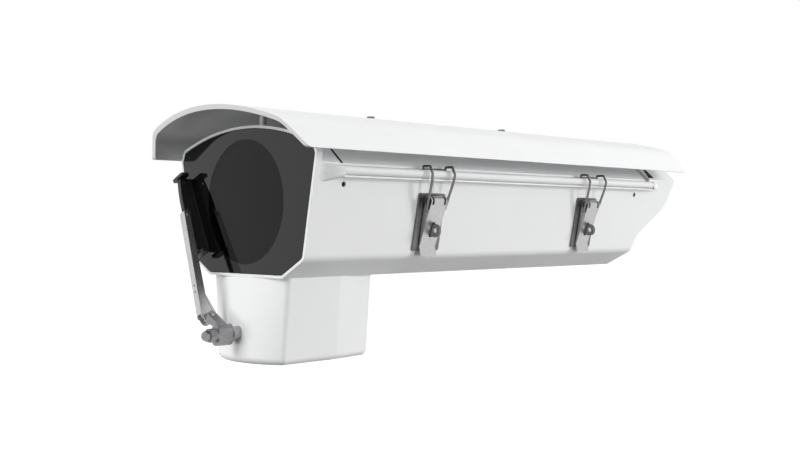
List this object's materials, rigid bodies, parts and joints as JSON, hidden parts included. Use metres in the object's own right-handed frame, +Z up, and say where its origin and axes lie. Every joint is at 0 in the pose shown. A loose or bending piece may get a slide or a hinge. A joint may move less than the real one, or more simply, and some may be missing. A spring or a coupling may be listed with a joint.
{
  "type": "security camera housing",
  "caption": "Outdoor camera housing with an arched sunshield, dark window with wiper, hinged lid with toggle latches and an underslung wiper motor box.",
  "frame": {"origin": "centre of the four bracket holes, on the underside of the casing", "axes": "+Z up, the window looks along -Y, the latches are on the +X side and the hinges on the -X side"},
  "size_m": [0.1764, 0.4575, 0.1724],
  "materials": {
    "white_paint": "satin powder coat",
    "dark_glass": "polished",
    "black_rubber": "matte",
    "black_plastic": "matte",
    "brushed_steel": "brushed",
    "bright_steel": "satin",
    "arm_steel": "satin",
    "zinc_casting": "cast",
    "circuit_board": "satin",
    "terminal_plastic": "matte"
  },
  "bodies": {
    "housing": {"board_screws": "brushed_steel", "camera_tray": "brushed_steel", "gland_bodies": "black_plastic", "gland_caps": "black_plastic", "gland_nuts": "black_plastic", "gland_seals": "black_rubber", "hinge_pin_front": "brushed_steel", "hinge_pin_rear": "brushed_steel", "latch_base_front": "brushed_steel", "latch_base_rear": "brushed_steel", "latch_pin_front": "bright_steel", "latch_pin_rear": "bright_steel", "latch_rivets": "bright_steel", "latch_staple_front": "brushed_steel", "latch_staple_rear": "brushed_steel", "lower_casing": "white_paint", "motor_box": "white_paint", "motor_box_screws": "brushed_steel", "motor_clamp": "brushed_steel", "shaft_bush": "brushed_steel", "shield_rest_post": "brushed_steel", "terminal_block": "terminal_plastic", "terminal_board": "circuit_board", "tray_screws": "brushed_steel", "window_gasket": "black_rubber", "window_glass": "dark_glass", "window_mask": "black_plastic", "wiper_motor": "zinc_casting", "wire_grommet": "black_rubber"},
    "lid": {"lid_cover": "white_paint", "lid_seal": "black_rubber", "sunshield": "white_paint", "shield_spacers": "black_plastic", "shield_screws": "bright_steel"},
    "wiper_drive": {"wiper_shaft": "brushed_steel", "wiper_hub": "brushed_steel", "wiper_cap_nut": "bright_steel", "arm_lift_pin": "brushed_steel"},
    "wiper_arm": {"wiper_arm": "arm_steel", "blade_rocker_pin": "bright_steel"},
    "wiper_blade": {"blade_holder": "black_plastic", "blade_rivets": "bright_steel", "blade_end_clips": "black_plastic", "squeegee": "black_rubber"},
    "latch_lever_front": {"latch_lever_front": "brushed_steel"},
    "latch_bail_front": {"latch_bail_front": "bright_steel"},
    "latch_lever_rear": {"latch_lever_rear": "brushed_steel"},
    "latch_bail_rear": {"latch_bail_rear": "bright_steel"}
  },
  "joints": [
    {"name": "lid_hinge", "type": "hinge", "parent": "housing", "child": "lid", "pos_m": [-0.0836, 0, 0.06615], "axis": [0, -1, 0], "range_deg": [0, 85]},
    {"name": "wiper_sweep", "type": "hinge", "parent": "housing", "child": "wiper_drive", "pos_m": [0, -0.22164, -0.0376], "axis": [0, 1, 0], "range_deg": [0, 50]},
    {"name": "arm_lift", "type": "hinge", "parent": "wiper_drive", "child": "wiper_arm", "pos_m": [-0.01916, -0.22654, -0.02882], "axis": [0.9048, 0, 0.4258], "range_deg": [0, 45], "stiffness_Nm_per_rad": 0.1, "springref_deg": -34.38},
    {"name": "blade_rock", "type": "hinge", "parent": "wiper_arm", "child": "wiper_blade", "pos_m": [-0.05203, -0.2217, 0.04103], "axis": [0.9048, 0, 0.4258], "range_deg": [0, 13.5]},
    {"name": "latch_lever_turn_front", "type": "hinge", "parent": "housing", "child": "latch_lever_front", "pos_m": [0.075, -0.1024, 0.051], "axis": [0, -1, 0], "range_deg": [0, 110]},
    {"name": "latch_bail_turn_front", "type": "hinge", "parent": "latch_lever_front", "child": "latch_bail_front", "pos_m": [0.0745, -0.1024, 0.045], "axis": [0, -1, 0], "range_deg": [-96.8, 0]},
    {"name": "latch_lever_turn_rear", "type": "hinge", "parent": "housing", "child": "latch_lever_rear", "pos_m": [0.075, 0.0806, 0.051], "axis": [0, -1, 0], "range_deg": [0, 110]},
    {"name": "latch_bail_turn_rear", "type": "hinge", "parent": "latch_lever_rear", "child": "latch_bail_rear", "pos_m": [0.0745, 0.0806, 0.045], "axis": [0, -1, 0], "range_deg": [-96.8, 0]}
  ],
  "couplings": [
    {"joint": "blade_rock", "follows": "arm_lift", "ratio": 0.3},
    {"joint": "latch_bail_turn_front", "follows": "latch_lever_turn_front", "ratio": -0.88},
    {"joint": "latch_bail_turn_rear", "follows": "latch_lever_turn_rear", "ratio": -0.88}
  ]
}
